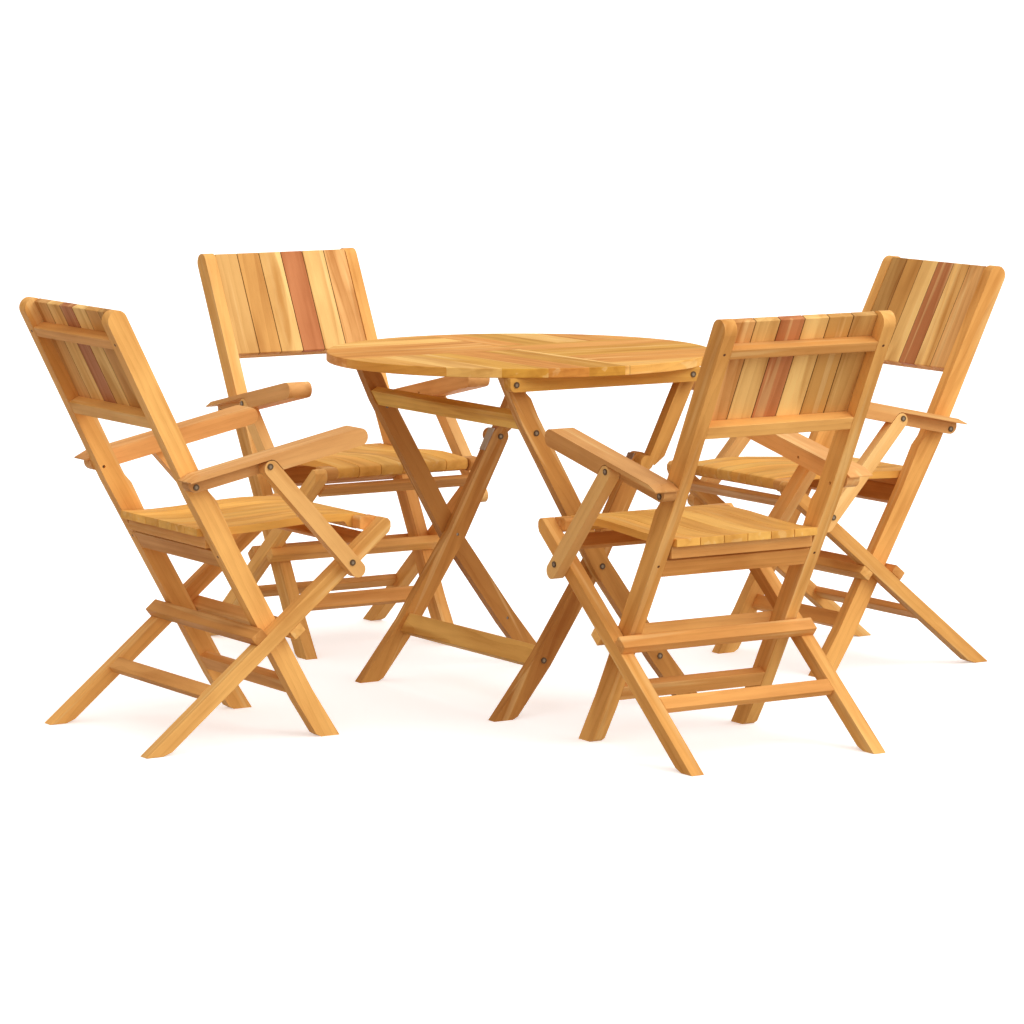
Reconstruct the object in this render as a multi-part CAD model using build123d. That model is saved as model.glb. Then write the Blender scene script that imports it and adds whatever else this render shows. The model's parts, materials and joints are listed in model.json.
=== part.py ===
"""Patio dining set: one round folding teak table and four folding teak armchairs.

Units are mm, +Z up, floor at z = 0; the middle of the whole set is at x = y = 0.
Every chair is drawn once in its own frame (x forward, y to its left) and then placed.
"""
from math import atan2, cos, degrees, hypot, pi, radians, sin
import os

from build123d import *

# ------------------------------------------------------------------ chair, side view (x, z)
BACK_LEAN = [(-267.0, 878.5), (-90.5, 522.0), (149.0, 90.0), (218.6, -20.0)]  # stile centreline
STILE_WIDE, STILE_IN, STILE_OUT = 43.0, 176.0, 205.0
SHOULDER = [(-80.0, 522.8), (-66.8, 522.8), (-49.6, 503.6), (3.0, 395.8), (-25.0, 400.0)]
LEG_HEEL, LEG_RISE = (-231.0, 0.0), radians(39.18)   # rear tip of the leg and its slope
LEG_WIDE, LEG_IN, LEG_OUT = 31.3, 206.5, 237.5
STRUT_WIDE, STRUT_IN, STRUT_OUT = 33.0, 238.5, 264.5
LEG_NOSE = [(321.0, 449.8), (331.0, 448.0), (337.0, 441.0), (337.5, 430.0), (333.85, 420.0)]

LEG_PIVOT = (72.8, 227.4)       # leg on stile, hidden pin
ARM_PIVOT = (-113.3, 540.5)     # arm on stile
ELBOW = (40.9, 575.4)           # strut under arm
STRUT_FOOT = (230.3, 366.3)     # strut on leg
SEAT_PIVOT = (288.0, 439.0)     # rod through the seat, held in two lugs on the legs

ARM_TOP, ARM_SLOPE = (-113.0, 566.5), radians(11.75)   # top face above the arm pivot
ARM_DEPTH, ARM_BOARD, ARM_IN = 36.5, 9.5, 207.0

SEAT_TOP = [(-78, 447), (-45, 445.6), (-5, 445.5), (50, 447.5), (105, 451.0), (160, 454.6),
            (210, 456.3), (250, 455.0), (282, 453.0)]
SEAT_NOSE = [(314, 450.6), (320.5, 447.5), (323, 441.5), (322.5, 433), (318, 425.5), (309, 421.5),
             (290, 421.5), (272, 427.5), (264, 438.2)]
SEAT_LUG = [(281, 425), (300, 420.5), (318, 420.5), (329, 431), (331, 441), (328, 447), (320, 450),
            (285, 451), (281, 446.5)]
SEAT_THICK, SEAT_HALF, SEAT_SLATS, LUG_IN = 16.0, 172.5, 6, 174.0
BACK_SLATS, BACK_THICK = 6, 15.0

# ------------------------------------------------------------------ table, side view (x, z)
TOP_RADIUS, TOP_HEIGHT, TOP_THICK = 418.0, 749.0, 20.0
RAIL_HALF, RAIL_HIGH, RAIL_IN, RAIL_OUT = 240.0, 30.0, 325.5, 350.5
A_PIVOT, STAY_PIVOT = (-225.0, 714.5), (217.0, 714.5)
CROSS, KNEE = (6.5, 314.6), (119.0, 528.0)
BAR_BOLT, OUTER_BOLT, INNER_BOLT = (-159.0, 608.0), (154.0, 110.0), (-123.5, 120.3)
A_LINE = [(-232.2, 763.0), (-173.0, 633.0), (6.5, 314.6), (154.0, 110.0), (257.0, -20.0)]
B_LINE = [(119.0, 528.0), (6.5, 314.6), (-123.5, 120.0), (-234.9, -20.0)]
STAY_LINE = [(136.5, 523.0), (235.0, 724.3)]
TABLE_LEG_WIDE, STAY_WIDE = 42.0, 34.0
OUTER_IN, OUTER_OUT = 297.0, 322.5   # outer legs and stays
INNER_IN, INNER_OUT = 270.5, 296.0   # inner legs

# ------------------------------------------------------------------ fasteners and clearances
BOLT_RADIUS, HEAD_RADIUS, HEAD_HIGH = 3.5, 6.5, 2.0
RUNNING = 0.06

# where the table and the four chairs stand: x, y in mm and heading in degrees
TABLE_PLACE = (-31.0, -29.5, 0.0)
CHAIR_PLACES = [(-856.0, -75.5, 0.0), (-20.0, 810.5, -90.0),
                (856.0, -22.5, 180.0), (-25.0, -810.5, 90.0)]


def board(shape, y0, y1):
    """A flat board: a side-view sketch (x, z) given its thickness from y0 to y1."""
    face = Plane(origin=(0, y1, 0), x_dir=(1, 0, 0), z_dir=(0, -1, 0)) * shape
    return extrude(face, amount=y1 - y0, dir=(0, -1, 0))


def outline(points):
    """A closed shape through corner points, always drawn anticlockwise."""
    turn = sum(a[0] * b[1] - b[0] * a[1] for a, b in zip(points, points[1:] + points[:1]))
    return Polygon(*(points if turn > 0 else points[::-1]), align=None)


def disc(centre, radius, flats=24):
    """A round end or pin, drawn with small flats."""
    return Pos(*centre) * RegularPolygon(radius, flats)


def strip(points, width):
    """A bent bar of one width along a centreline, with mitred bends."""
    steps = [(b[0] - a[0], b[1] - a[1]) for a, b in zip(points, points[1:])]
    normals = [(-dz / hypot(dx, dz), dx / hypot(dx, dz)) for dx, dz in steps]
    left, right = [], []
    for i, (x, z) in enumerate(points):
        first, second = normals[max(i - 1, 0)], normals[min(i, len(normals) - 1)]
        mx, mz = first[0] + second[0], first[1] + second[1]
        reach = width / (mx * mx + mz * mz)
        left.append((x + mx * reach, z + mz * reach))
        right.append((x - mx * reach, z - mz * reach))
    return outline(left + right[::-1])


def on_floor(shape):
    return shape & (Pos(0, 1000) * Rectangle(4000, 2000))


def beyond(x, z, turn):
    """All that lies above a line through one point (below it, for a line turned past 90 degrees)."""
    return Pos(x, z) * Rot(0, 0, turn) * Pos(0, 500) * Rectangle(3000, 1000)


def link(a, b, width):
    """A flat bar with a round end about each of two pivots."""
    return strip([a, b], width) + disc(a, width / 2) + disc(b, width / 2)


def along(start, angle, s0, s1, n0, n1):
    """A rectangle given by distances along and across a sloping line."""
    corners = [(s0, n0), (s1, n0), (s1, n1), (s0, n1)]
    return outline([(start[0] + s * cos(angle) - n * sin(angle),
                     start[1] + s * sin(angle) + n * cos(angle)) for s, n in corners])


def pair(solid):
    """The same piece on both sides of the chair or table."""
    return [solid, mirror(solid, about=Plane.XZ)]


def pin(centre, y0, y1):
    return board(disc(centre, BOLT_RADIUS, 12), y0, y1)


def bolt(centre, y0, y1):
    """A bolt from y0 out to a flat head that stands on the face y1."""
    return pin(centre, y0, y1) + board(disc(centre, HEAD_RADIUS, 16), y1, y1 + HEAD_HIGH)


def hole(centre):
    """A true round hole, where one piece turns on another piece's pin."""
    return Pos(*centre) * Circle(BOLT_RADIUS + RUNNING)


def socket(centre):
    """The hole that grips a bolt."""
    return disc(centre, BOLT_RADIUS + 0.02, 12)


# ------------------------------------------------------------------ chair pieces
def stile():
    side = on_floor(strip(BACK_LEAN, STILE_WIDE) + disc(BACK_LEAN[0], STILE_WIDE / 2))
    side += outline(SHOULDER)
    side -= beyond(188.5, 0.0, 151) + hole(ARM_PIVOT)
    return board(side, STILE_IN, STILE_OUT) - board(hole(LEG_PIVOT), 180.0, STILE_OUT)


UPPER = atan2(BACK_LEAN[0][1] - BACK_LEAN[1][1], BACK_LEAN[0][0] - BACK_LEAN[1][0])
MIDDLE = atan2(BACK_LEAN[1][1] - BACK_LEAN[2][1], BACK_LEAN[1][0] - BACK_LEAN[2][0])


def on_back(s0, s1, n0, n1):
    """s runs up the back from the stile's upper bend, n runs towards its rear."""
    return along(BACK_LEAN[1], UPPER, s0, s1, n0, n1)


def cross_rails():
    """Two rails behind the slats, the rail under the seat and the front stretcher."""
    half, depth = STILE_WIDE / 2, 26.0
    top = on_back(342.0, 364.0, half - depth, half)
    low = on_back(160.0, 188.0, half - depth, half)
    under = along(BACK_LEAN[1], MIDDLE + pi, 128.0, 168.0, -half, -half + 22.0)
    front = along(BACK_LEAN[1], MIDDLE + pi, 445.0, 479.0, -half, -half + 20.0)
    return [board(shape, -STILE_IN, STILE_IN) for shape in (top, low, under, front)]


def back_slats():
    pitch = 2 * STILE_IN / BACK_SLATS
    face = 2.0 - STILE_WIDE / 2
    side = on_back(157.0, 411.0, face, face + BACK_THICK)
    slats = []
    for i in range(BACK_SLATS):
        y0 = -STILE_IN + i * pitch
        slats.append(board(side, y0 + 0.4, y0 + pitch - 0.4))
    return slats


def leg():
    base = LEG_WIDE / sin(LEG_RISE)
    side = outline([LEG_HEEL] + LEG_NOSE + [(LEG_HEEL[0] + base, 0.0)])
    return board(side - beyond(LEG_HEEL[0] + base - 11.0, 0.0, 200), LEG_IN, LEG_OUT)


def on_leg(s0, s1, n0, n1):
    """s runs up the leg from its rear tip, n runs square to its upper edge."""
    return along(LEG_HEEL, LEG_RISE, s0, s1, n0, n1)


def leg_rails():
    """Rails above and below the crossing, rear and front stretchers, and the seat's two lugs."""
    return [board(on_leg(327.0, 358.6, 0.0, 21.0), -LEG_OUT, LEG_OUT),
            board(on_leg(399.6, 430.8, -LEG_WIDE - 21.0, -LEG_WIDE), -LEG_OUT, LEG_OUT),
            board(on_leg(177.0, 209.0, -16.0, 0.0), -LEG_IN, LEG_IN),
            board(on_leg(648.0, 684.0, -36.0, -24.5), -LEG_IN, LEG_IN)
            ] + pair(board(outline(SEAT_LUG), LUG_IN, LEG_IN))


def hinge_pins():
    """Hidden pins: the legs turn on one pair against the stiles, the seat on the other."""
    return pair(pin(LEG_PIVOT, 180.5, LEG_IN)) + pair(pin(SEAT_PIVOT, 145.0, LUG_IN))


def seat_slats():
    pitch = 2 * SEAT_HALF / SEAT_SLATS
    under = [(x, z - SEAT_THICK) for x, z in SEAT_TOP[-2::-1]]
    side = outline(SEAT_TOP + SEAT_NOSE + under)
    slats = []
    for i in range(SEAT_SLATS):
        y0 = -SEAT_HALF + i * pitch
        slats.append(board(side, y0 + 0.7, y0 + pitch - 0.7))
    bore = board(hole(SEAT_PIVOT), 140.0, SEAT_HALF)
    slats[0] -= mirror(bore, about=Plane.XZ)
    slats[-1] -= bore
    return slats


def seat_batten():
    """The batten under the rear of the slats; its cut lower corner rests on the rail."""
    side = outline([(-60.0, 405.1), (-37.4, 405.1), (-28.5, 410.1), (-28.5, 429.45), (-45.0, 429.45),
                    (-60.0, 430.1)])
    return [board(side, -SEAT_HALF, SEAT_HALF)]


def on_arm(s0, s1, n0, n1):
    """s runs forward along the arm's top face, n runs square to it, upward."""
    return along(ARM_TOP, ARM_SLOPE, s0, s1, n0, n1)


def arm():
    """A thin top board over a set-back web, and a solid front end past the strut."""
    middle = -ARM_DEPTH / 2
    nose = Rot(0, 0, degrees(ARM_SLOPE)) * Pos(367.0, middle) * RegularPolygon(-middle, 20)
    top = on_arm(-28.0, 180.0, -ARM_BOARD, 0.0) - beyond(*ARM_TOP, 26)
    front = on_arm(160.0, 367.0, -ARM_DEPTH, 0.0) + Pos(*ARM_TOP) * nose
    web = on_arm(0.0, 180.0, -ARM_DEPTH, -ARM_BOARD) + disc((-112.0, 547.6), 18.2)
    inner = top + front + web - beyond(*ARM_TOP, 11.75) - socket(ARM_PIVOT) - hole(ELBOW)
    outer = top + front - strut_shape(STRUT_WIDE + 3.0)
    return board(inner, ARM_IN, LEG_OUT) + board(outer, LEG_OUT, STRUT_OUT)


def strut_shape(width):
    """A bar from just below the elbow to some way past its foot, so neither bolt is in its end's middle."""
    run, rise = STRUT_FOOT[0] - ELBOW[0], STRUT_FOOT[1] - ELBOW[1]
    ux, uz = run / hypot(run, rise), rise / hypot(run, rise)
    return link((ELBOW[0] + 6.0 * ux, ELBOW[1] + 6.0 * uz),
                (STRUT_FOOT[0] + 21.0 * ux, STRUT_FOOT[1] + 21.0 * uz), width)


def chair():
    strut = strut_shape(STRUT_WIDE) - socket(ELBOW) - socket(STRUT_FOOT)
    strut_bolts = pair(bolt(ELBOW, 212.0, STRUT_OUT)) + pair(bolt(STRUT_FOOT, STRUT_IN, STRUT_OUT))
    return {"stiles": pair(stile()),
            "cross_rails": cross_rails(),
            "back_slats": back_slats(),
            "legs": pair(leg()),
            "leg_rails": leg_rails(),
            "hinge_pins": hinge_pins(),
            "seat_slats": seat_slats(),
            "seat_batten": seat_batten(),
            "arms": pair(arm()),
            "arm_bolts": pair(bolt(ARM_PIVOT, 184.0, LEG_OUT)),
            "struts": pair(board(strut, STRUT_IN, STRUT_OUT)),
            "strut_bolts": strut_bolts}


# ------------------------------------------------------------------ table pieces
def outer_leg():
    side = on_floor(strip(A_LINE, TABLE_LEG_WIDE)) - beyond(222.0, 0.0, 154)
    side -= beyond(A_PIVOT[0], A_PIVOT[1] + 13.0, 0) + beyond(A_PIVOT[0] + 9.0, A_PIVOT[1] + 9.3, -44)
    side -= hole(A_PIVOT) + socket(CROSS) + socket(BAR_BOLT) + socket(OUTER_BOLT)
    return board(side, OUTER_IN, OUTER_OUT)


def inner_leg():
    side = on_floor(strip(B_LINE, TABLE_LEG_WIDE)) + disc(KNEE, TABLE_LEG_WIDE / 2)
    side -= beyond(-200.0, 0.0, 206)
    side -= hole(CROSS) + socket(KNEE) + socket(INNER_BOLT)
    return board(side, INNER_IN, INNER_OUT)


def stay():
    """A bar set beyond its two pivots, with a rounded ear about each."""
    side = strip(STAY_LINE, STAY_WIDE) + disc(KNEE, 16.0) + disc(STAY_PIVOT, 13.5)
    side += outline([KNEE, STAY_LINE[0], STAY_LINE[1], STAY_PIVOT])
    side -= beyond(STAY_PIVOT[0], STAY_PIVOT[1] + 13.0, 0) + beyond(124.5, 511.5, 216)
    return board(side - hole(STAY_PIVOT), OUTER_IN, OUTER_OUT)


def table():
    slope_a = atan2(A_LINE[1][1] - A_LINE[2][1], A_LINE[1][0] - A_LINE[2][0])
    slope_b = atan2(B_LINE[2][1] - B_LINE[1][1], B_LINE[2][0] - B_LINE[1][0])
    crossbar = board(along(A_LINE[1], slope_a, -13.0, 25.0, -1.0, 18.0), -OUTER_IN, OUTER_IN)
    stretcher = board(along(B_LINE[1], slope_b, 208.0, 254.0, -12.0, 8.0), -INNER_IN, INNER_IN)
    z = TOP_HEIGHT - TOP_THICK
    corner = (RAIL_HALF - 13.0, z - RAIL_HIGH + 13.0)
    rail = Pos(0, z - (RAIL_HIGH - 13.0) / 2) * Rectangle(2 * RAIL_HALF, RAIL_HIGH - 13.0)
    rail += Pos(0, z - RAIL_HIGH / 2) * Rectangle(2 * corner[0], RAIL_HIGH)
    rail += disc(corner, 13.0) + disc((-corner[0], corner[1]), 13.0)
    rail -= socket(A_PIVOT) + socket(STAY_PIVOT)
    outer_bolts = pair(bolt(CROSS, 272.0, OUTER_OUT)) + pair(bolt(OUTER_BOLT, 299.0, OUTER_OUT))
    outer_bolts += pair(bolt(BAR_BOLT, OUTER_IN, OUTER_OUT))
    knee_bolts = pair(bolt(KNEE, -INNER_OUT + 1.0, -INNER_IN))
    slope_knee = atan2(KNEE[1] - CROSS[1], KNEE[0] - CROSS[0])
    plate = along(KNEE, slope_knee, -44.0, 10.0, 21.0, 23.0)
    return {"top": [Pos(0, 0, z + TOP_THICK / 2) * Cylinder(TOP_RADIUS, TOP_THICK)],
            "rails": pair(board(rail, RAIL_IN, RAIL_OUT)),
            "rail_bolts": pair(bolt(A_PIVOT, 299.0, RAIL_OUT)) + pair(bolt(STAY_PIVOT, 299.0, RAIL_OUT)),
            "outer_legs": pair(outer_leg()),
            "outer_crossbar": [crossbar],
            "outer_leg_bolts": outer_bolts,
            "inner_legs": pair(inner_leg()),
            "inner_leg_bolts": pair(bolt(INNER_BOLT, 274.0, INNER_OUT)) + knee_bolts,
            "inner_stretcher": [stretcher],
            "stays": pair(stay()),
            "catch_plates": pair(board(plate, INNER_IN + 2.0, INNER_OUT))}


# ------------------------------------------------------------------ place and write
def write(prefix, pieces, x, y, heading):
    place = Location((x, y, 0), (0, 0, heading))
    for name, solids in pieces.items():
        node = Compound(children=[place * solid for solid in solids])
        export_step(node, os.path.join("parts", prefix + name + ".step"))


os.makedirs("parts", exist_ok=True)
write("table_", table(), *TABLE_PLACE)
one_chair = chair()
for number, place in enumerate(CHAIR_PLACES, 1):
    write(f"chair_{number}_", one_chair, *place)
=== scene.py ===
"""Patio dining set: one round folding teak table and four folding teak armchairs.

The sections follow the set as it is put together: the table from its top down, then the
armchairs from their back posts to their bolts, then the floor, the light and the camera.
"""
import json
from math import cos, pi, radians, sin

import bpy
import numpy as np
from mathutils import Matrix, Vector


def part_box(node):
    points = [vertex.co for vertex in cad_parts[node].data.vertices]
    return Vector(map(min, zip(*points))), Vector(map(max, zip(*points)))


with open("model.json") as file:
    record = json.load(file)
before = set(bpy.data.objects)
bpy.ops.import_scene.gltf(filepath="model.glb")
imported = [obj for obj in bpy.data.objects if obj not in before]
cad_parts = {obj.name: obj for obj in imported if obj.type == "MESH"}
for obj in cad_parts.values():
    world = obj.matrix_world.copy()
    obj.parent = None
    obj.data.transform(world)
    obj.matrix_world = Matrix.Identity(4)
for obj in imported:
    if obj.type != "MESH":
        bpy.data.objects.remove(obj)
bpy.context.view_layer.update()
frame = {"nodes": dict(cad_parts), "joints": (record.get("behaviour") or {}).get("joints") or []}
nodes = frame["nodes"]


# ------------------------------------------------------------------ table top
# A round top glued up from teak staves in four quarters: the staves of each quarter run
# square to those of its neighbours. The rim is sawn, sanded and oiled, its edges just eased.

def add(tree, kind, put=None, **settings):
    """Adds a shader node with its settings; put gives values or sockets for its inputs."""
    made = tree.nodes.new(kind)
    for name, value in settings.items():
        setattr(made, name, value)
    for name, value in (put or {}).items():
        if isinstance(value, bpy.types.NodeSocket):
            tree.links.new(value, made.inputs[name])
        else:
            made.inputs[name].default_value = value
    return made


def maths(tree, operation, *values, **settings):
    """One Math node on numbers or sockets; returns its value."""
    return add(tree, "ShaderNodeMath", dict(enumerate(values)), operation=operation,
               **settings).outputs[0]


def graded(tree, value, low, high, start, end):
    """A value between low and high carried in step to between start and end, and held there."""
    return add(tree, "ShaderNodeMapRange",
               {0: value, 1: low, 2: high, 3: start, 4: end}).outputs[0]


def mixed(tree, share, colour, other, how="MIX"):
    """A colour with a share of another one mixed in, or multiplied in."""
    return add(tree, "ShaderNodeMix", {0: share, 6: colour, 7: other}, data_type="RGBA",
               blend_type=how).outputs[2]


def srgb(red, green, blue):
    """A display colour, 0 to 255, as the linear colour that a shader takes."""
    values = np.array([red, green, blue]) / 255
    linear = np.where(values <= 0.04045, values / 12.92, ((values + 0.055) / 1.055) ** 2.4)
    return (*[float(value) for value in linear], 1.0)


def seen_from(tree, place, turns=(0, 0, 0)):
    """Object coordinates measured from a place, in m, with the axes turned about x, y and z."""
    own = add(tree, "ShaderNodeTexCoord").outputs["Object"]
    return add(tree, "ShaderNodeMapping", {"Vector": own, "Location": place, "Rotation": turns},
               vector_type="TEXTURE").outputs[0]


def new_material(name):
    """An empty material and its node tree."""
    made = bpy.data.materials.new(name)
    made.use_nodes = True
    made.node_tree.nodes.clear()
    return made, made.node_tree


def new_group(name, inputs, outputs):
    """An empty shader node group with named inputs and outputs."""
    tree = bpy.data.node_groups.new(name, "ShaderNodeTree")
    for label, kind, value in inputs:
        socket = tree.interface.new_socket(label, in_out="INPUT", socket_type="NodeSocket" + kind)
        if value is not None:
            socket.default_value = value
    for label, kind in outputs:
        tree.interface.new_socket(label, in_out="OUTPUT", socket_type="NodeSocket" + kind)
    return tree, tree.nodes.new("NodeGroupInput"), tree.nodes.new("NodeGroupOutput")


def figure(tree, place, along, across, octaves, shows, strength):
    """Noise drawn out along the grain, with so many waves in a metre along it and across it.

    It is carried from the range of noise that shows to the range of strengths given.
    """
    waves = add(tree, "ShaderNodeVectorMath", {0: place, 1: (along, across, across)},
                operation="MULTIPLY").outputs[0]
    noise = add(tree, "ShaderNodeTexNoise",
                {"Vector": waves, "Scale": 1.0, "Detail": octaves}).outputs[0]
    return graded(tree, noise, *shows, *strength)


RINGS = 80.0                         # growth rings in a metre
PITH_TILT = 0.12                     # how much the pith line's slope to a board varies
PITH_NEAR, PITH_VARIES = 0.02, 0.06  # how far below a board the pith line runs, m
LOG_SPREAD = (4.0, 0.3, 0.3)         # how far apart in their logs the boards are cut, m
SAPWOOD = srgb(255, 218, 150)
LATE_WOOD = (0.60, 0.44, 0.30, 1)    # the darkest figure, as a share of the board's tone
# The colour of a dark seam, also used for the painted shade in a pin hole.
SEAM_AND_HOLE_SHADE = srgb(92, 50, 24)


def make_teak_group():
    """Sawn teak. Growth rings are cylinders about a pith line below the board, tilted a little to
    it, so a face that meets them flat shows arches and one that meets them square shows stripes.

    A ring's darkness is the square of how far through its year a point lies. Streaks, clouds,
    pores and heartwood darken it further, sapwood pales it, and a dark seam or the painted
    shade of a pin hole covers all of them.
    """
    tree, inp, out = new_group(
        "teak",
        [("Grain", "Vector", None), ("Board", "Float", 0.0), ("Tone", "Color", (0.8, 0.45, 0.16, 1)),
         ("Flame", "Float", 0.4), ("Seam", "Float", 0.0)],
        [("Color", "Color"), ("Roughness", "Float"), ("Height", "Float")])
    grain, board, tone, flame, seam_or_hole_shade = list(inp.outputs)[:5]

    chance = add(tree, "ShaderNodeTexWhiteNoise", {"W": board}, noise_dimensions="1D")
    dice = add(tree, "ShaderNodeSeparateColor", {0: chance.outputs["Color"]}).outputs
    in_log = add(tree, "ShaderNodeVectorMath", {0: chance.outputs["Color"], 1: LOG_SPREAD, 2: grain},
                 operation="MULTIPLY_ADD").outputs[0]
    at = add(tree, "ShaderNodeSeparateXYZ", {0: grain}).outputs

    tilt = maths(tree, "MULTIPLY", maths(tree, "SUBTRACT", dice[0], 0.5), PITH_TILT)
    wander = figure(tree, in_log, along=3.0, across=9.0, octaves=2.0,
                    shows=(0.0, 1.0), strength=(0.0, 0.045))
    side = maths(tree, "ADD", maths(tree, "MULTIPLY_ADD", at[0], tilt, at[1]), wander)
    below = maths(tree, "MULTIPLY_ADD", dice[1], PITH_VARIES, PITH_NEAR)
    depth = maths(tree, "ADD", at[2], below)
    radius = maths(tree, "SQRT", maths(tree, "ADD", maths(tree, "MULTIPLY", side, side),
                                       maths(tree, "MULTIPLY", depth, depth)))
    year = maths(tree, "FRACT", maths(tree, "MULTIPLY", radius, RINGS))
    late = maths(tree, "POWER", year, 2.0)

    streaks = figure(tree, in_log, along=2.2, across=38.0, octaves=2.0,
                     shows=(0.46, 0.76), strength=(0.0, 0.42))
    clouds = figure(tree, in_log, along=5.0, across=16.0, octaves=2.0,
                    shows=(0.35, 0.70), strength=(-0.10, 0.32))
    pores = figure(tree, in_log, along=35.0, across=1400.0, octaves=1.0,
                   shows=(0.56, 0.70), strength=(0.0, 1.0))
    heart = figure(tree, in_log, along=1.7, across=12.0, octaves=1.0,
                   shows=(0.56, 0.60), strength=(0.0, 0.9))
    sap = figure(tree, in_log, along=1.9, across=52.0, octaves=1.0,
                 shows=(0.60, 0.66), strength=(0.0, 0.38))

    dark = maths(tree, "MULTIPLY", maths(tree, "MULTIPLY", late, flame), 0.55)
    dark = maths(tree, "ADD", dark, streaks)
    dark = maths(tree, "ADD", dark, maths(tree, "MULTIPLY", pores, 0.16))
    dark = maths(tree, "ADD", dark, clouds, use_clamp=True)
    dark = maths(tree, "ADD", dark, maths(tree, "MULTIPLY", heart, flame), use_clamp=True)

    lift = graded(tree, dice[2], 0.0, 1.0, 0.90, 1.07)
    tone = add(tree, "ShaderNodeVectorMath", {0: tone, "Scale": lift}, operation="SCALE").outputs[0]
    wood = mixed(tree, dark, mixed(tree, sap, tone, SAPWOOD),
                 mixed(tree, 1.0, tone, LATE_WOOD, "MULTIPLY"))
    # A dark seam or the painted shade of a pin hole covers the wood.
    tree.links.new(mixed(tree, seam_or_hole_shade, wood, SEAM_AND_HOLE_SHADE), out.inputs["Color"])
    tree.links.new(maths(tree, "MULTIPLY_ADD", dark, 0.16, 0.54), out.inputs["Roughness"])
    height = maths(tree, "SUBTRACT", maths(tree, "MULTIPLY", late, -0.25), pores)
    tree.links.new(height, out.inputs["Height"])
    return tree


teak_group = make_teak_group()


def finish_teak(tree, grain, board, tone, flame, seam_or_hole_shade=None):
    """Closes a teak material: the teak group feeds one shader's colour, roughness and bump."""
    wood = add(tree, "ShaderNodeGroup", node_tree=teak_group)
    for name, value in (("Grain", grain), ("Board", board), ("Tone", tone), ("Seam", seam_or_hole_shade)):
        if value is not None:
            tree.links.new(value, wood.inputs[name])
    wood.inputs["Flame"].default_value = flame
    bump = add(tree, "ShaderNodeBump",
               {"Strength": 0.25, "Distance": 0.0004, "Height": wood.outputs["Height"]})
    shader = add(tree, "ShaderNodeBsdfPrincipled",
                 {"Base Color": wood.outputs["Color"], "Roughness": wood.outputs["Roughness"],
                  "Normal": bump.outputs[0], "Specular IOR Level": 0.18})
    tree.links.new(shader.outputs[0], add(tree, "ShaderNodeOutputMaterial").inputs[0])


def tone_of(tree, board, tones, first=0):
    """The colour of each board in turn, from a stepped ramp over its number."""
    place = maths(tree, "DIVIDE", maths(tree, "ADD", board, 0.5 - first), float(len(tones)))
    ramp = add(tree, "ShaderNodeValToRGB", {0: place})
    ramp.color_ramp.interpolation = "CONSTANT"
    steps = ramp.color_ramp.elements
    while len(steps) < len(tones):
        steps.new(1.0)
    for i, tone in enumerate(tones):
        steps[i].position = i / len(tones)
        steps[i].color = tone
    return ramp.outputs[0]


def dress(node, material):
    """Gives a CAD node its material."""
    nodes[node].material_slots[0].material = material


def ease(node, width=0.0018, segments=2):
    """Sands the sharp edges of a CAD node: merge its triangles, drop flat edges, round the rest."""
    piece = nodes[node]
    weld = piece.modifiers.new("merge", "WELD")
    weld.merge_threshold = 0.00001
    flat = piece.modifiers.new("flat faces", "DECIMATE")
    flat.decimate_type = "DISSOLVE"
    flat.angle_limit = radians(1)
    edge = piece.modifiers.new("eased edge", "BEVEL")
    edge.width = width
    edge.segments = segments
    edge.limit_method = "ANGLE"
    edge.angle_limit = radians(35)
    edge.harden_normals = False
    normals = piece.modifiers.new("even shading", "WEIGHTED_NORMAL")
    normals.weight = 100


table_low, table_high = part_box("table_top")
table_place = ((table_low[0] + table_high[0]) / 2, (table_low[1] + table_high[1]) / 2, 0.0)
STAVE = (table_high[0] - table_low[0]) / 10
LONG_JOINT = 0.012                # x of the joint right across the top, m from its middle
LEFT_JOINT, RIGHT_JOINT = 0.02, 0.11  # y of the short joints on either side of it
TOP_TONES = [srgb(*tone) for tone in (
    (238, 176, 84), (230, 162, 76), (246, 188, 98), (224, 166, 66),
    (232, 164, 80), (234, 174, 76), (250, 198, 112), (220, 152, 70))]

top_teak, tree = new_material("table_top_teak")
where = seen_from(tree, table_place)
x, y, z = add(tree, "ShaderNodeSeparateXYZ", {0: where}).outputs
right = maths(tree, "GREATER_THAN", x, LONG_JOINT)
aside = maths(tree, "SUBTRACT", x, LONG_JOINT)
short_joint = maths(tree, "MULTIPLY_ADD", right, RIGHT_JOINT - LEFT_JOINT, LEFT_JOINT)
ahead = maths(tree, "SUBTRACT", y, short_joint)
turned = maths(tree, "GREATER_THAN", maths(tree, "MULTIPLY", aside, ahead), 0.0)
square = add(tree, "ShaderNodeCombineXYZ", {0: y, 1: x, 2: z}).outputs[0]
grain = add(tree, "ShaderNodeMix", {0: turned, 4: where, 5: square}, data_type="VECTOR").outputs[1]
across = add(tree, "ShaderNodeSeparateXYZ", {0: grain}).outputs[1]
# Staves count up across their quarter; the odd numbers keep the four quarters' staves apart.
stave = maths(tree, "FLOOR", maths(tree, "DIVIDE", across, STAVE))
stave = maths(tree, "MULTIPLY_ADD", turned, 17.0, stave)
stave = maths(tree, "MULTIPLY_ADD", right, 31.0, stave)
chance = add(tree, "ShaderNodeTexWhiteNoise", {"W": stave}, noise_dimensions="1D").outputs[0]
number = maths(tree, "FLOOR", maths(tree, "MULTIPLY", chance, float(len(TOP_TONES))))
seam_or_hole_shade = graded(tree, maths(tree, "ABSOLUTE", aside), 0.0, 0.0025, 0.38, 0.0)
finish_teak(tree, grain, stave, tone_of(tree, number, TOP_TONES), 0.30, seam_or_hole_shade)
dress("table_top", top_teak)
ease("table_top", 0.002, 3)


# ------------------------------------------------------------------ table rails
# Two flat boards fixed under the top, one on each side, that carry the leg pivots. They are of
# a more olive teak than the top.

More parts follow.
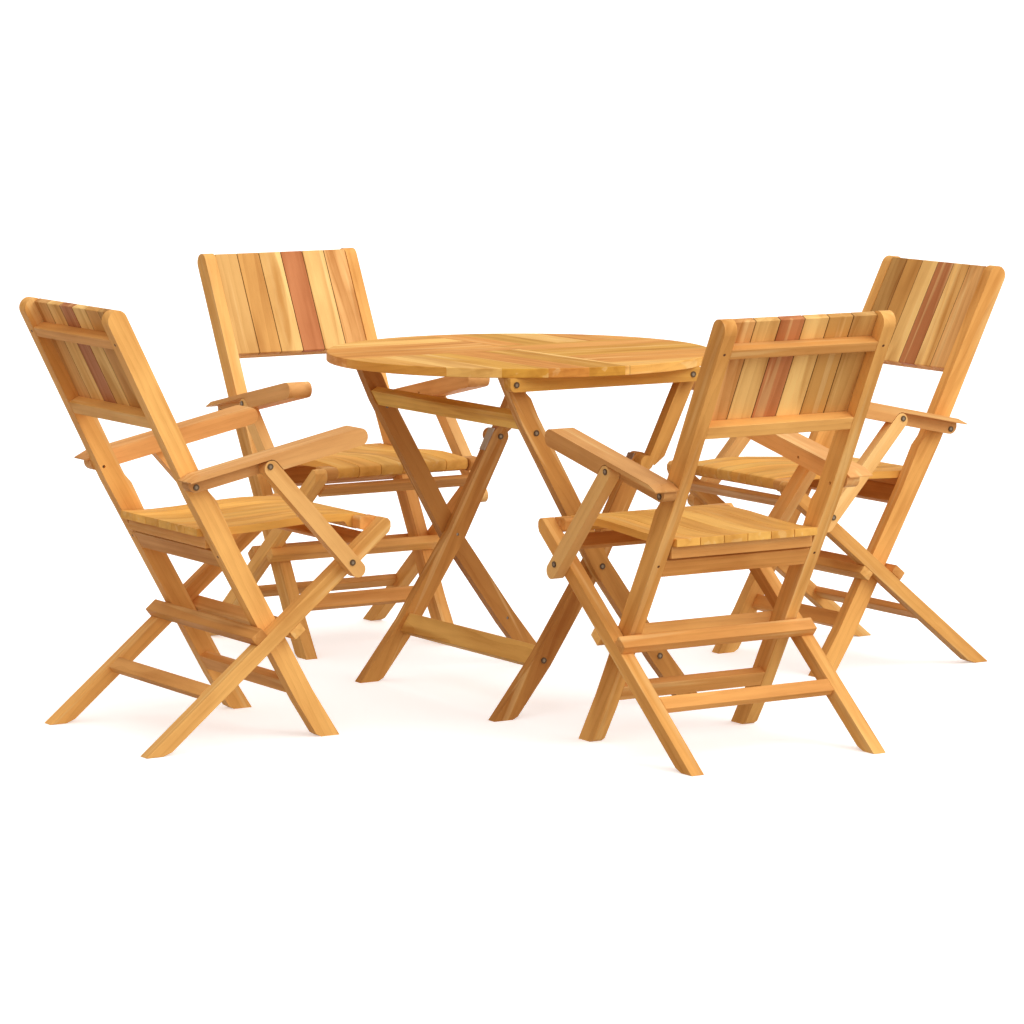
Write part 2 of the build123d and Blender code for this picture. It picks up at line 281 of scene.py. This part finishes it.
def joint_line(tree, boards, share):
    """Dark within a share of a board's width from its edges; boards counts them as a decimal."""
    middle = maths(tree, "ABSOLUTE", maths(tree, "SUBTRACT", maths(tree, "FRACT", boards), 0.5))
    return graded(tree, middle, 0.5 - share, 0.5 - share / 2, 0.0, 0.75)


def pin_hole_shade(tree, here, points):
    """Painted shade in pin holes: 1 within 2.6 mm of one of the points, fading to 0 at 3.4 mm."""
    reach = 1.0
    for point in points:
        away = add(tree, "ShaderNodeVectorMath", {0: here, 1: point}, operation="DISTANCE")
        reach = maths(tree, "MINIMUM", away.outputs["Value"], reach)
    return graded(tree, reach, 0.0026, 0.0034, 1.0, 0.0)


def teak(node, place, turn, log, count, tones, slope=0.0, flame=0.3, crosswise=False, first=-1,
         gap=0.0, pins=()):
    """Dresses a node whose boards all run one way, and eases its edges.

    place and turn: where its table or chair stands and faces; log: a number of its own that
    picks its figure; count: x, y, z and shift, whose sum numbers the boards from first up;
    tones: the boards' colours in turn; slope: how far they rise; flame: how strong the figure
    is; gap: the dark share of a board's width at each joint; pins: small holes, x, y, z in m,
    painted dark as shade.
    """
    made, tree = new_material(node + "_teak")
    here = seen_from(tree, place, (0, 0, turn))
    grain = seen_from(tree, place, (0, 0, turn + pi / 2) if crosswise else (0, -slope, turn))
    along = add(tree, "ShaderNodeVectorMath", {0: here, 1: count[:3]}, operation="DOT_PRODUCT")
    boards = maths(tree, "ADD", along.outputs["Value"], count[3])
    board = maths(tree, "FLOOR", boards)
    seam_or_hole_shade = None
    if gap:
        seam_or_hole_shade = joint_line(tree, boards, gap)
    # Pin holes are painted dark, as painted shade in the holes.
    if pins:
        seam_or_hole_shade = pin_hole_shade(tree, here, pins)
    finish_teak(tree, grain, maths(tree, "ADD", board, log), tone_of(tree, board, tones, first),
                flame, seam_or_hole_shade)
    dress(node, made)
    ease(node)


SIDES = (0, 1, 0, 0)       # numbers the right-hand board -1 and the left-hand board 0
SINGLE = (0, 0, 0, -0.5)   # one board, numbered -1 from end to end
teak("table_rails", table_place, 0.0, 100.0, SIDES, [srgb(222, 168, 80), srgb(226, 170, 82)],
     flame=0.35)


# ------------------------------------------------------------------ outer legs and crossbar
# Two bent legs cut from wide boards, so their grain runs straight through the bend, hinged on
# the rails and held apart by a pale crossbar just below the top.

BROWN = [srgb(214, 152, 78), srgb(204, 142, 72)]
teak("table_outer_crossbar", table_place, 0.0, 103.0, SINGLE, [srgb(252, 206, 108)] * 2,
     flame=0.40, crosswise=True)
teak("table_outer_legs", table_place, 0.0, 106.0, SIDES, BROWN, slope=radians(-59))


# ------------------------------------------------------------------ inner legs and stretcher
# The second pair of bent legs, between the outer ones and crossing them, held apart by a
# stretcher near the floor.

teak("table_inner_legs", table_place, 0.0, 109.0, SIDES, BROWN[::-1], slope=radians(62))
teak("table_inner_stretcher", table_place, 0.0, 112.0, SINGLE, [srgb(240, 190, 104)] * 2,
     flame=0.45, crosswise=True)


# ------------------------------------------------------------------ stays
# Two straight stays run from the inner legs' knees up to the rails and fold with them.

teak("table_stays", table_place, 0.0, 115.0, SIDES, [srgb(224, 166, 86), srgb(216, 156, 80)],
     slope=radians(62.3), flame=0.35)


# ------------------------------------------------------------------ table bolts
# Zinc-plated bolts through the wood, each a brighter socket in a ring of painted shadow, for the gap
# round its sunk head.

BOLT_REACH = 0.022   # m: wider than one bolt, narrower than the way to the next


def bolt_centres(node, place, turn):
    """Centre line (x, z) and radius of each bolt in a node, in its table's or chair's own frame.

    Points within reach of each other belong to one bolt; its centre is the middle of their
    extremes and its radius is half of their greater spread.
    """
    mesh = nodes[node].data
    points = np.empty(3 * len(mesh.vertices))
    mesh.vertices.foreach_get("co", points)
    points = points.reshape(-1, 3) - place
    flat = np.stack([points[:, 0] * cos(turn) + points[:, 1] * sin(turn), points[:, 2]], 1)
    found = []
    while len(flat):
        near = np.hypot(*(flat - flat[0]).T) < BOLT_REACH
        low, high = flat[near].min(0), flat[near].max(0)
        centre = (low + high) / 2
        found.append((float(centre[0]), float(centre[1]), float((high - low).max() / 2)))
        flat = flat[~near]
    return found


def bolts(node, place, turn):
    """Dresses a node of bolts with a ring of painted shadow, set by the distance from each centre
    line over the radius.
    """
    made, tree = new_material(node + "_steel")
    own = add(tree, "ShaderNodeTexCoord").outputs["Object"]
    here = add(tree, "ShaderNodeVectorMath", {0: seen_from(tree, place, (0, 0, turn)), 1: (1, 0, 1)},
               operation="MULTIPLY").outputs[0]
    share = None
    for x, z, radius in bolt_centres(node, place, turn):
        away = add(tree, "ShaderNodeVectorMath", {0: here, 1: (x, 0, z)}, operation="DISTANCE")
        reach = maths(tree, "DIVIDE", away.outputs["Value"], radius)
        share = reach if share is None else maths(tree, "MINIMUM", share, reach)
    # Painted shadow: the ring round each bolt's brighter centre is darkened, as the gap round a sunk
    # head.
    ring_shade = graded(tree, share, 0.40, 0.58, 0.0, 1.0)
    wear = add(tree, "ShaderNodeTexNoise", {"Vector": own, "Scale": 400.0, "Detail": 2.0}).outputs[0]
    bump = add(tree, "ShaderNodeBump", {"Strength": 0.6, "Distance": 0.0008, "Height": ring_shade})
    shader = add(tree, "ShaderNodeBsdfPrincipled",
                 {"Base Color": mixed(tree, ring_shade, srgb(132, 116, 96), srgb(92, 72, 52)),
                  "Metallic": 0.9, "Roughness": graded(tree, wear, 0.3, 0.7, 0.36, 0.56),
                  "Normal": bump.outputs[0]})
    tree.links.new(shader.outputs[0], add(tree, "ShaderNodeOutputMaterial").inputs[0])
    dress(node, made)


for part in ("rail_bolts", "outer_leg_bolts", "inner_leg_bolts"):
    bolts("table_" + part, table_place, 0.0)


# ------------------------------------------------------------------ catch plates
# Two pressed plates of plated steel at the knees of the inner legs.

def steel(name, colour, roughness):
    """Plated steel, a little uneven in gloss."""
    made, tree = new_material(name)
    own = add(tree, "ShaderNodeTexCoord").outputs["Object"]
    cloud = add(tree, "ShaderNodeTexNoise", {"Vector": own, "Scale": 300.0, "Detail": 2.0})
    gloss = graded(tree, cloud.outputs[0], 0.3, 0.7, roughness - 0.08, roughness + 0.1)
    shader = add(tree, "ShaderNodeBsdfPrincipled",
                 {"Base Color": colour, "Metallic": 1.0, "Roughness": gloss})
    tree.links.new(shader.outputs[0], add(tree, "ShaderNodeOutputMaterial").inputs[0])
    return made


dress("table_catch_plates", steel("plate_steel", srgb(176, 160, 146), 0.45))


# ------------------------------------------------------------------ chair posts and rails
# Two bent back posts of light golden teak run down to the front feet. Four rails join them:
# two behind the back, one under the seat and one near the floor.

joint_at = {joint["name"]: joint.get("pos_m") for joint in frame["joints"]}
CROSSING_AHEAD = 0.0728   # how far the legs' crossing lies before the chair's own middle, m
chairs = []
for number, turn in enumerate(map(radians, (0, -90, 180, 90)), 1):
    pivot = joint_at[f"chair_{number}_fold"]
    place = (pivot[0] - CROSSING_AHEAD * cos(turn), pivot[1] - CROSSING_AHEAD * sin(turn), 0.0)
    chairs.append((f"chair_{number}_", place, turn, 100.0 * number))


def chair_teak(part, log, *boards, **looks):
    """Dresses the same part of all four chairs, each chair's boards from logs of its own."""
    for chair, place, turn, first_log in chairs:
        teak(chair + part, place, turn, first_log + log, *boards, **looks)


GOLD = [srgb(249, 190, 108), srgb(245, 182, 100)]
RAILS = [srgb(236, 172, 96), srgb(228, 164, 90), srgb(246, 188, 108), srgb(234, 170, 94)]
# Each post has two pins in from its rear face, level with the upper rail and below the seat;
# their holes are painted dark as shade.
POST_PINS = [(x, side * 0.191, z) for x, z in ((-0.2670, 0.830), (-0.0414, 0.389))
             for side in (-1, 1)]
BY_HEIGHT = (0, 0, 4, 0)   # a new board every 250 mm up
chair_teak("stiles", 0.0, SIDES, GOLD, slope=radians(-60.9), pins=POST_PINS)
chair_teak("cross_rails", 7.0, BY_HEIGHT, RAILS, crosswise=True, first=0)


# ------------------------------------------------------------------ back slats
# Six upright slats let in between the posts, picked for contrast from pale yellow to
# red-brown, with a fine dark joint between them.

BACK_WIDTH = 0.352
BACK = [srgb(217, 168, 98), srgb(222, 164, 88), srgb(253, 209, 132), srgb(202, 130, 80),
        srgb(254, 205, 127), srgb(242, 185, 115)]
chair_teak("back_slats", 14.0, (0, 6 / BACK_WIDTH, 0, 3), BACK, slope=radians(-63.6), flame=0.50,
           first=0, gap=0.022)


# ------------------------------------------------------------------ crossing legs and their rails
# Two straight legs cross the posts on hidden pins, from the rear feet up to the seat's front.
# Rails above and below the crossing and two stretchers hold them apart; two lugs carry the seat.

BY_LENGTH = (10, 0, 0, 0.2)   # a new board every 100 mm forward
chair_teak("legs", 21.0, SIDES, GOLD, slope=radians(39.18))
chair_teak("leg_rails", 28.0, BY_LENGTH, RAILS, crosswise=True)


# ------------------------------------------------------------------ seat
# Six slats with a rounded front, nearly alike in tone, on a batten across their rear.

SEAT_WIDTH = 0.345
SEAT = [srgb(250, 190, 94), srgb(245, 184, 90), srgb(254, 198, 102), srgb(243, 182, 88),
        srgb(252, 194, 98), srgb(247, 188, 94)]
chair_teak("seat_slats", 35.0, (0, 6 / SEAT_WIDTH, 0, 3), SEAT, flame=0.08, first=0, gap=0.012)
chair_teak("seat_batten", 42.0, SINGLE, RAILS[:2], crosswise=True)


# ------------------------------------------------------------------ arms and struts
# Armrests with a half-round front end turn on the posts. A paler strut under each one holds
# it up from the leg and folds with the chair.

ARMS = [srgb(236, 176, 108), srgb(230, 170, 102)]
STRUTS = [srgb(247, 192, 118), srgb(249, 196, 122)]
chair_teak("arms", 49.0, SIDES, ARMS, slope=radians(11.75), flame=0.20)
chair_teak("struts", 56.0, SIDES, STRUTS, slope=radians(-47.8), flame=0.15)


# ------------------------------------------------------------------ chair bolts and pins
# The arms and struts turn on the same plated bolts as the table's legs. The crossing and the
# seat's front turn on short steel pins hidden in the wood.

pin_steel = steel("pin_steel", srgb(128, 116, 100), 0.42)
for chair, place, turn, _ in chairs:
    bolts(chair + "arm_bolts", place, turn)
    bolts(chair + "strut_bolts", place, turn)
    dress(chair + "hinge_pins", pin_steel)


# ------------------------------------------------------------------ floor, light and camera
# A plain near-white floor that runs out of sight under a room that is bright overhead and dim
# low down, with one broad soft sun from the front right. The floor throws no glow up the wood,
# and past its edge the camera sees plain white.

EDGE = 400.0   # m from the middle of the floor to its sides
floor_mesh = bpy.data.meshes.new("floor")
floor_mesh.from_pydata([(-EDGE, -EDGE, 0), (EDGE, -EDGE, 0), (EDGE, EDGE, 0), (-EDGE, EDGE, 0)],
                       [], [(0, 1, 2, 3)])
floor = bpy.data.objects.new("floor", floor_mesh)
bpy.context.scene.collection.objects.link(floor)
floor.visible_diffuse = False
floor_paint, tree = new_material("floor_paint")
shader = add(tree, "ShaderNodeBsdfPrincipled",
             {"Base Color": (0.97, 0.97, 0.97, 1), "Roughness": 0.9,
              "Emission Color": (1, 1, 1, 1), "Emission Strength": 0.40})
tree.links.new(shader.outputs[0], add(tree, "ShaderNodeOutputMaterial").inputs[0])
floor_mesh.materials.append(floor_paint)

# The room's light grows with height and towards the front right, and its dim parts are warmer.
world = bpy.data.worlds.new("room")
bpy.context.scene.world = world
world.use_nodes = True
room = world.node_tree
generated = add(room, "ShaderNodeTexCoord").outputs["Generated"]
east, north, up = add(room, "ShaderNodeSeparateXYZ", {0: generated}).outputs
height = graded(room, up, -0.5, 0.7, 0.36, 1.06)
side = maths(room, "MULTIPLY_ADD", east, 0.16, 1.0)
side = maths(room, "MULTIPLY_ADD", north, -0.42, side)
glow = maths(room, "MULTIPLY", height, side)
bright = graded(room, glow, 0.40, 1.05, 0.0, 1.0)
tint = mixed(room, bright, (1.0, 0.80, 0.60, 1), (1.0, 0.99, 0.98, 1))
lit = room.nodes["Background"]
room.links.new(tint, lit.inputs["Color"])
room.links.new(glow, lit.inputs["Strength"])
backdrop = add(room, "ShaderNodeBackground", {"Color": (1, 1, 1, 1), "Strength": 1.3})
shown = add(room, "ShaderNodeMixShader",
            {0: add(room, "ShaderNodeLightPath").outputs["Is Camera Ray"], 1: lit.outputs[0],
             2: backdrop.outputs[0]})
room.links.new(shown.outputs[0], room.nodes["World Output"].inputs[0])

sunlight = bpy.data.lights.new("soft sun", "SUN")
sunlight.energy = 0.9
sunlight.angle = radians(40)
sun = bpy.data.objects.new("soft sun", sunlight)
bpy.context.scene.collection.objects.link(sun)
sun.rotation_euler = (radians(54), 0.0, radians(28))

scene = bpy.context.scene
scene.view_settings.view_transform = "Standard"
lens = bpy.data.cameras.new("camera")
lens.sensor_width = 36.0
lens.lens = 149.1
lens.clip_end = 2000.0
camera = bpy.data.objects.new("camera", lens)
scene.collection.objects.link(camera)
camera.location = (-4.871, -7.8055, 1.589)
camera.rotation_euler = (pi / 2 - 0.1296, 0.0, radians(-31.8))
scene.camera = camera
